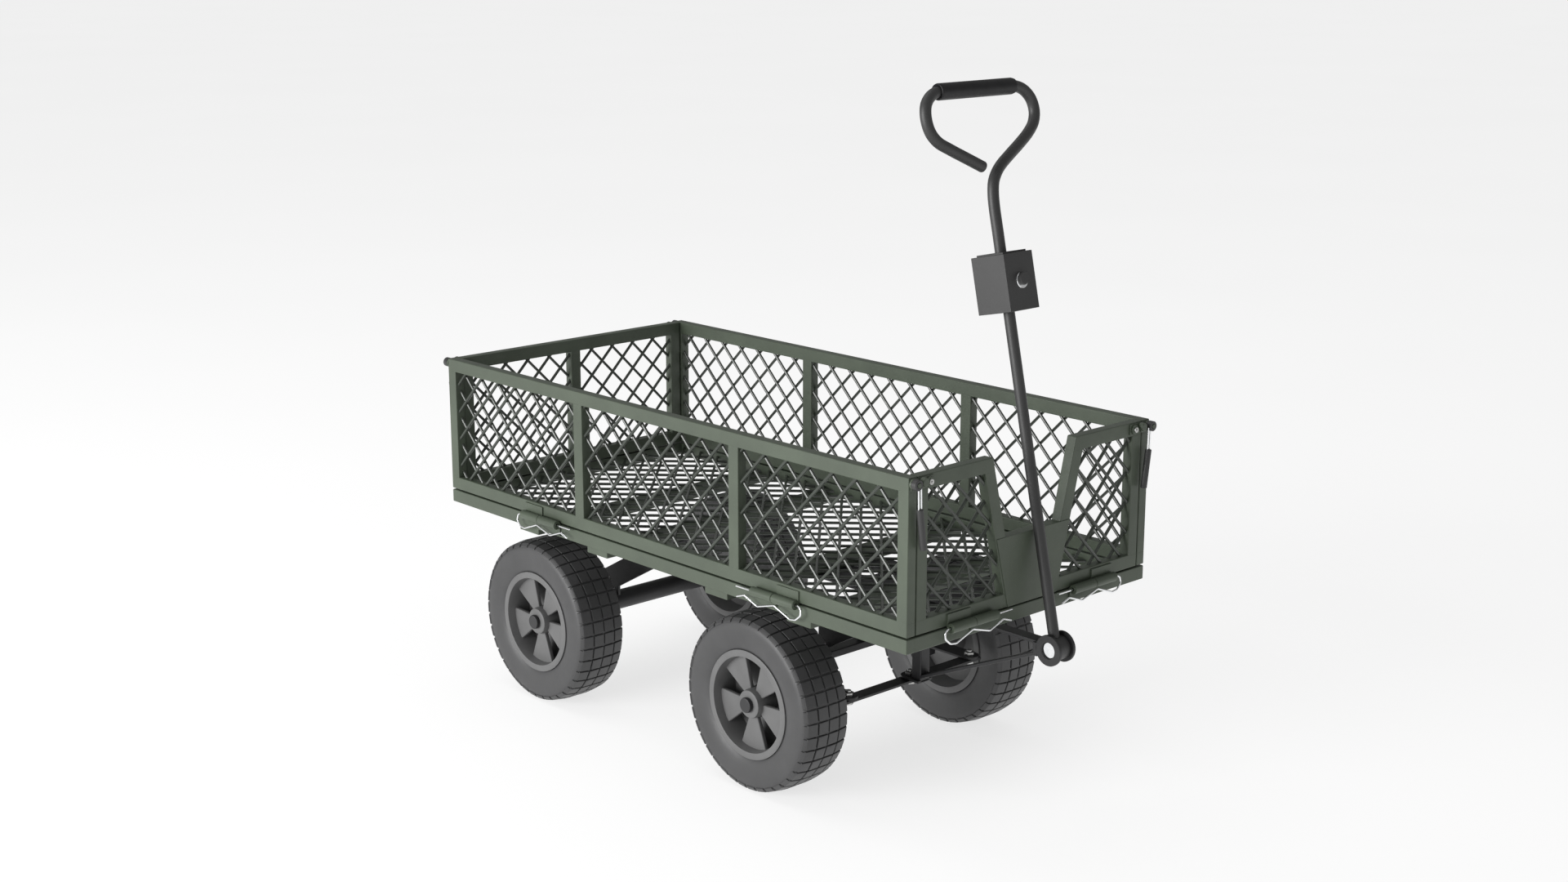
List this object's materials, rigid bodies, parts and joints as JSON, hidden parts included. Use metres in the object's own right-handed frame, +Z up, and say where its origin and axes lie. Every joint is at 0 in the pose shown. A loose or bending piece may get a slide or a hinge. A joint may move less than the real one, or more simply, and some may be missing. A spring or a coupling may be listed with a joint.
{
  "type": "tow behind cart",
  "caption": "Steel mesh garden cart with fold-down sides, pneumatic wheels, steered front axle and a D-handle.",
  "frame": {"origin": "on the ground, at the middle of the whole cart's box", "axes": "+Z up, +Y towards the rear, away from the handle, +X to the left of someone pulling the cart"},
  "size_m": [0.6454, 1.3812, 1.2531],
  "materials": {
    "green_frame": "dark green powder coat, satin",
    "black_steel": "black powder coat, satin",
    "handle_steel": "charcoal powder coat, satin",
    "chrome_wire": "bright zinc and chrome",
    "tyre": "smooth sidewall, block tread",
    "wheel_rim": "silver grey paint, satin",
    "grip_rubber": "smooth dark rubber"
  },
  "bodies": {
    "deck": {"deck_frame": "green_frame", "floor_mesh": "green_frame", "front_panel": "green_frame", "front_mesh_right": "green_frame", "front_mesh_left": "green_frame", "latch_bracket_front_right": "chrome_wire", "latch_bracket_front_left": "chrome_wire", "rear_axle": "black_steel", "front_axle_beam": "black_steel", "tongue_post": "black_steel", "rear_strut_right": "black_steel", "rear_strut_left": "black_steel", "front_strut_right": "black_steel", "front_strut_left": "black_steel", "hinge_right_front": "green_frame", "hinge_right_rear": "green_frame", "hinge_left_front": "green_frame", "hinge_left_rear": "green_frame", "hinge_front_right": "green_frame", "hinge_front_left": "green_frame", "hinge_rear_right": "green_frame", "hinge_rear_left": "green_frame"},
    "panel_right": {"side_panel_right": "green_frame", "side_mesh_right": "green_frame"},
    "panel_left": {"side_panel_left": "green_frame", "side_mesh_left": "green_frame"},
    "panel_rear": {"rear_panel": "green_frame", "rear_mesh": "green_frame", "latch_bracket_rear_right": "chrome_wire", "latch_bracket_rear_left": "chrome_wire"},
    "knuckle_right": {"knuckle_right": "black_steel"},
    "wheel_front_right": {"tyre_front_right": "tyre", "rim_front_right": "wheel_rim"},
    "wheel_rear_right": {"tyre_rear_right": "tyre", "rim_rear_right": "wheel_rim"},
    "knuckle_left": {"knuckle_left": "black_steel"},
    "wheel_front_left": {"tyre_front_left": "tyre", "rim_front_left": "wheel_rim"},
    "wheel_rear_left": {"tyre_rear_left": "tyre", "rim_rear_left": "wheel_rim"},
    "tongue": {"tongue": "black_steel"},
    "tie_rod": {"tie_rod": "black_steel"},
    "handle": {"pivot_tube": "black_steel", "handle_lower": "handle_steel", "hitch_box": "handle_steel", "handle_upper": "handle_steel", "handle_grip": "grip_rubber"},
    "hitch_pin": {"hitch_pin": "chrome_wire"},
    "latch_front_right": {"latch_lever_front_right": "grip_rubber"},
    "latch_front_left": {"latch_lever_front_left": "grip_rubber"},
    "latch_rear_right": {"latch_lever_rear_right": "grip_rubber"},
    "latch_rear_left": {"latch_lever_rear_left": "grip_rubber"},
    "hairpin_right_front": {"hairpin_right_front": "chrome_wire"},
    "hairpin_right_rear": {"hairpin_right_rear": "chrome_wire"},
    "hairpin_left_front": {"hairpin_left_front": "chrome_wire"},
    "hairpin_left_rear": {"hairpin_left_rear": "chrome_wire"},
    "hairpin_front_right": {"hairpin_front_right": "chrome_wire"},
    "hairpin_front_left": {"hairpin_front_left": "chrome_wire"},
    "hairpin_rear_right": {"hairpin_rear_right": "chrome_wire"},
    "hairpin_rear_left": {"hairpin_rear_left": "chrome_wire"}
  },
  "joints": [
    {"name": "panel_right_fold", "type": "hinge", "parent": "deck", "child": "panel_right", "pos_m": [-0.3142, 0.03295, 0.3855], "axis": [0, -1, 0], "range_deg": [0, 170]},
    {"name": "panel_left_fold", "type": "hinge", "parent": "deck", "child": "panel_left", "pos_m": [0.3142, 0.03295, 0.3855], "axis": [0, 1, 0], "range_deg": [0, 170]},
    {"name": "panel_rear_fold", "type": "hinge", "parent": "deck", "child": "panel_rear", "pos_m": [0, 0.68215, 0.3855], "axis": [-1, 0, 0], "range_deg": [0, 170]},
    {"name": "wheel_front_right_spin", "type": "hinge", "parent": "knuckle_right", "child": "wheel_front_right", "pos_m": [-0.2488, -0.21005, 0.1622], "axis": [1, 0, 0], "continuous": true},
    {"name": "wheel_rear_right_spin", "type": "hinge", "parent": "deck", "child": "wheel_rear_right", "pos_m": [-0.2488, 0.41655, 0.1622], "axis": [1, 0, 0], "continuous": true},
    {"name": "wheel_front_left_spin", "type": "hinge", "parent": "knuckle_left", "child": "wheel_front_left", "pos_m": [0.2488, -0.21005, 0.1622], "axis": [1, 0, 0], "continuous": true},
    {"name": "wheel_rear_left_spin", "type": "hinge", "parent": "deck", "child": "wheel_rear_left", "pos_m": [0.2488, 0.41655, 0.1622], "axis": [1, 0, 0], "continuous": true},
    {"name": "tongue_yaw", "type": "hinge", "parent": "deck", "child": "tongue", "pos_m": [0, -0.21005, 0.3195], "axis": [0, 0, 1], "range_deg": [-5, 5]},
    {"name": "knuckle_right_yaw", "type": "hinge", "parent": "deck", "child": "knuckle_right", "pos_m": [-0.158, -0.21005, 0.2045], "axis": [0, 0, 1], "range_deg": [-5, 5]},
    {"name": "knuckle_left_yaw", "type": "hinge", "parent": "deck", "child": "knuckle_left", "pos_m": [0.158, -0.21005, 0.2045], "axis": [0, 0, 1], "range_deg": [-5, 5]},
    {"name": "tie_rod_swing", "type": "hinge", "parent": "tongue", "child": "tie_rod", "pos_m": [0, -0.32505, 0.1695], "axis": [0, 0, 1], "range_deg": [-5, 5]},
    {"name": "handle_pitch", "type": "hinge", "parent": "tongue", "child": "handle", "pos_m": [0, -0.66355, 0.3139], "axis": [1, 0, 0], "range_deg": [0, 115]},
    {"name": "hitch_pin_pull", "type": "slide", "parent": "handle", "child": "hitch_pin", "axis": [0, -0.9767, 0.2147], "range_m": [0, 0.06]},
    {"name": "latch_front_right_swing", "type": "hinge", "parent": "deck", "child": "latch_front_right", "pos_m": [-0.297, -0.61705, 0.6445], "axis": [0, 1, 0], "range_deg": [0, 90]},
    {"name": "latch_front_left_swing", "type": "hinge", "parent": "deck", "child": "latch_front_left", "pos_m": [0.297, -0.61705, 0.6445], "axis": [0, -1, 0], "range_deg": [0, 90]},
    {"name": "latch_rear_right_swing", "type": "hinge", "parent": "panel_rear", "child": "latch_rear_right", "pos_m": [-0.297, 0.68295, 0.6445], "axis": [0, 1, 0], "range_deg": [0, 90]},
    {"name": "latch_rear_left_swing", "type": "hinge", "parent": "panel_rear", "child": "latch_rear_left", "pos_m": [0.297, 0.68295, 0.6445], "axis": [0, -1, 0], "range_deg": [0, 90]},
    {"name": "hairpin_right_front_pull", "type": "slide", "parent": "deck", "child": "hairpin_right_front", "axis": [0, -1, 0], "range_m": [0, 0.155]},
    {"name": "hairpin_right_rear_pull", "type": "slide", "parent": "deck", "child": "hairpin_right_rear", "axis": [0, 1, 0], "range_m": [0, 0.155]},
    {"name": "hairpin_left_front_pull", "type": "slide", "parent": "deck", "child": "hairpin_left_front", "axis": [0, -1, 0], "range_m": [0, 0.155]},
    {"name": "hairpin_left_rear_pull", "type": "slide", "parent": "deck", "child": "hairpin_left_rear", "axis": [0, 1, 0], "range_m": [0, 0.155]},
    {"name": "hairpin_front_right_pull", "type": "slide", "parent": "deck", "child": "hairpin_front_right", "axis": [-1, 0, 0], "range_m": [0, 0.155]},
    {"name": "hairpin_front_left_pull", "type": "slide", "parent": "deck", "child": "hairpin_front_left", "axis": [1, 0, 0], "range_m": [0, 0.155]},
    {"name": "hairpin_rear_right_pull", "type": "slide", "parent": "deck", "child": "hairpin_rear_right", "axis": [-1, 0, 0], "range_m": [0, 0.155]},
    {"name": "hairpin_rear_left_pull", "type": "slide", "parent": "deck", "child": "hairpin_rear_left", "axis": [1, 0, 0], "range_m": [0, 0.155]}
  ],
  "couplings": [
    {"joint": "knuckle_right_yaw", "follows": "tongue_yaw", "ratio": 1},
    {"joint": "knuckle_left_yaw", "follows": "tongue_yaw", "ratio": 1},
    {"joint": "tie_rod_swing", "follows": "tongue_yaw", "ratio": -1}
  ]
}
